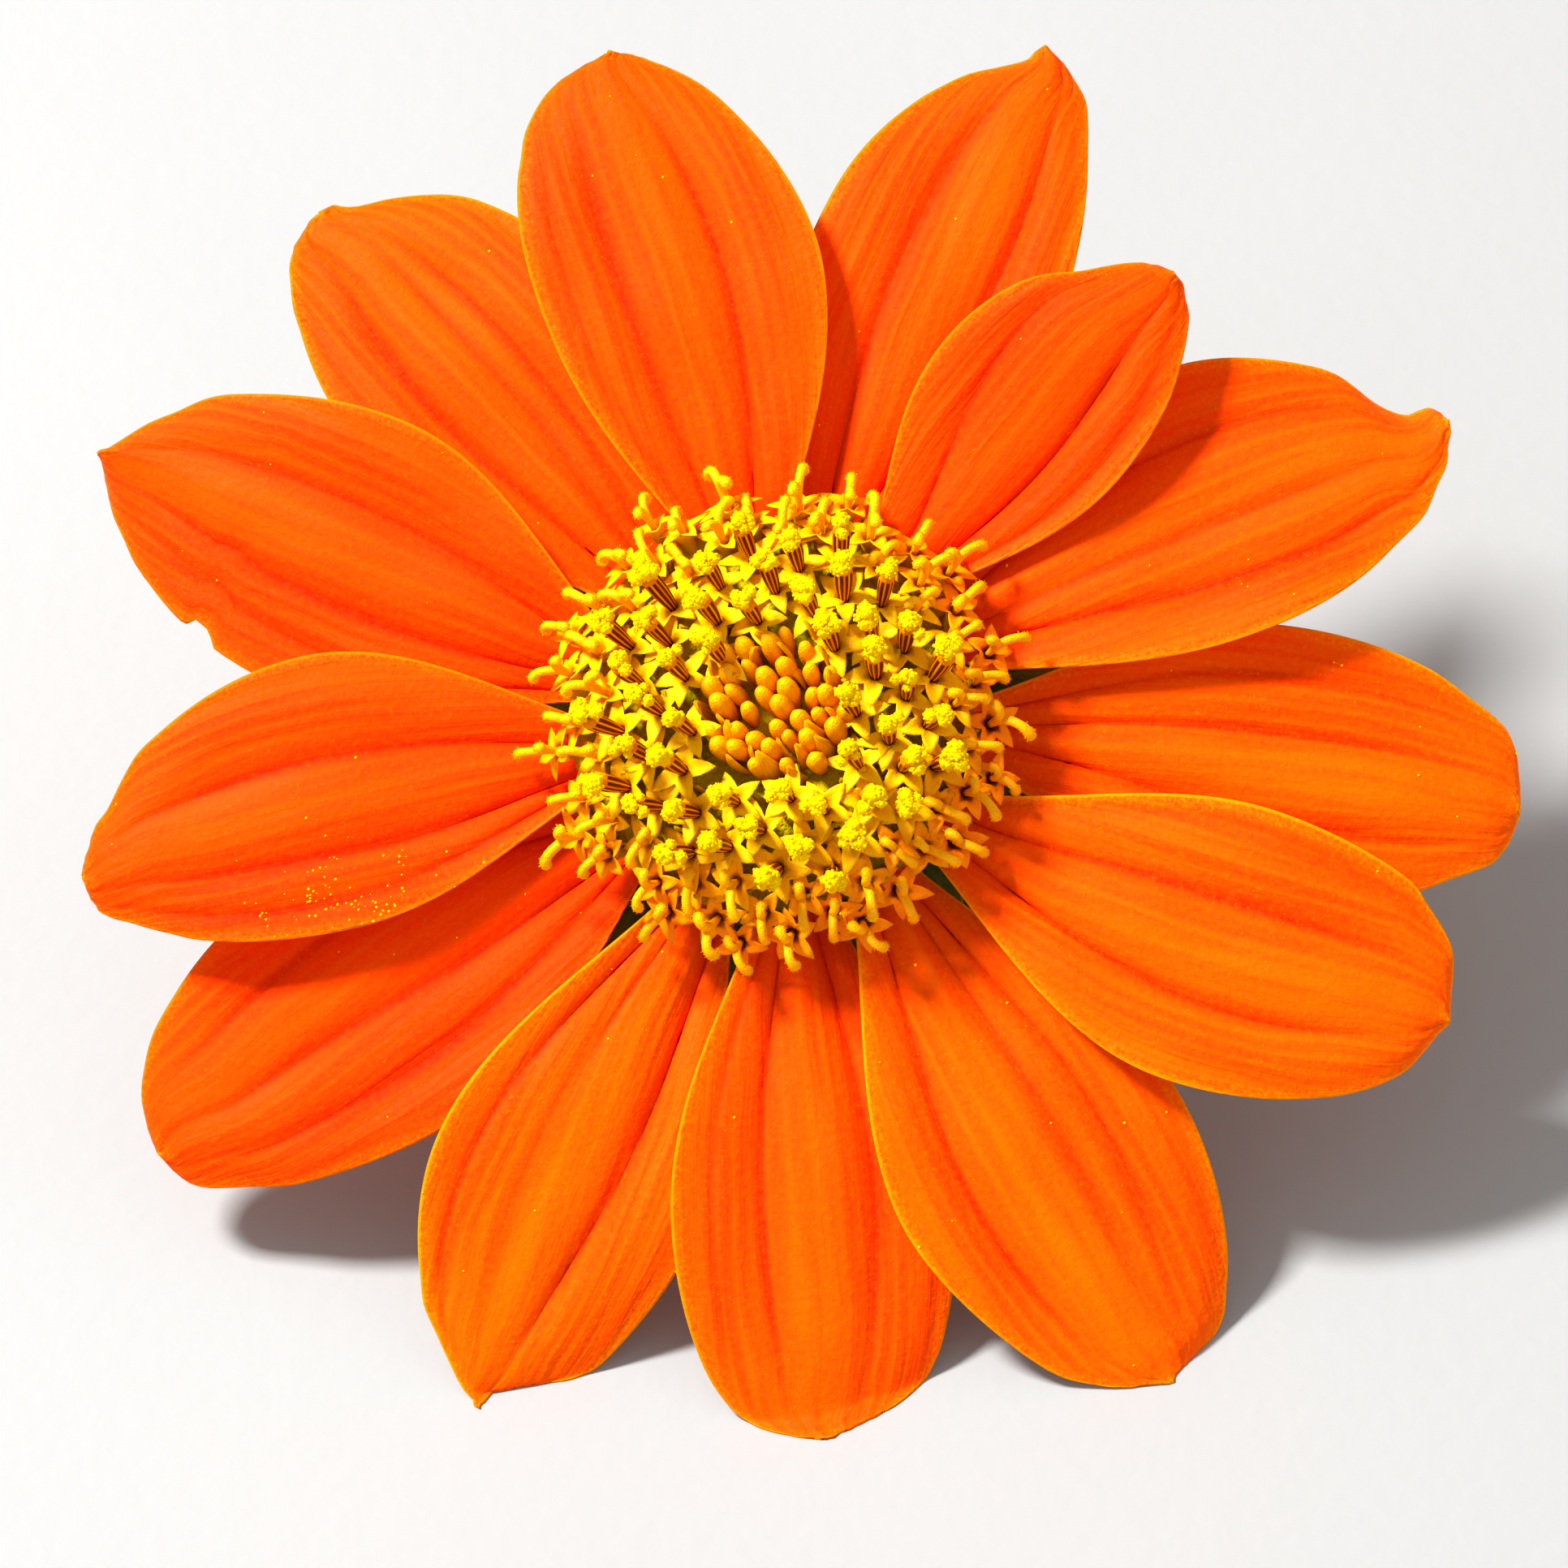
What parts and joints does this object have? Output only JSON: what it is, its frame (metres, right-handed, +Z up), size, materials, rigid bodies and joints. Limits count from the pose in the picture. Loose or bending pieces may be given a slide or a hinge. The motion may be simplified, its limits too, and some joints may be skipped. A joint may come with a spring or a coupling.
{
  "type": "mexican sunflower",
  "caption": "Picked flower head with broad orange ray petals in overlapping layers, a raised disc of small yellow florets, green bracts and a short bent stem, lying on a surface.",
  "frame": {"origin": "centre of the bounding box at the surface that the flower lies on", "axes": "+Z up, +Y from the lowest petals towards the cut end of the stem, +X to the right of the head seen from its face"},
  "size_m": [0.0759, 0.0829, 0.043],
  "materials": {
    "petal": "satin orange petal",
    "floret": "matt yellow floret",
    "bud": "satin ochre bud",
    "bract": "matt downy green",
    "stem": "matt downy green"
  },
  "bodies": {
    "root": {"stem": "stem", "involucre": "bract", "disc_florets": "floret", "disc_buds": "bud", "petal_01": "petal", "petal_02": "petal", "petal_03": "petal", "petal_04": "petal", "petal_05": "petal", "petal_06": "petal", "petal_07": "petal", "petal_08": "petal", "petal_09": "petal", "petal_10": "petal", "petal_11": "petal", "petal_12": "petal", "petal_13": "petal"}
  },
  "joints": []
}
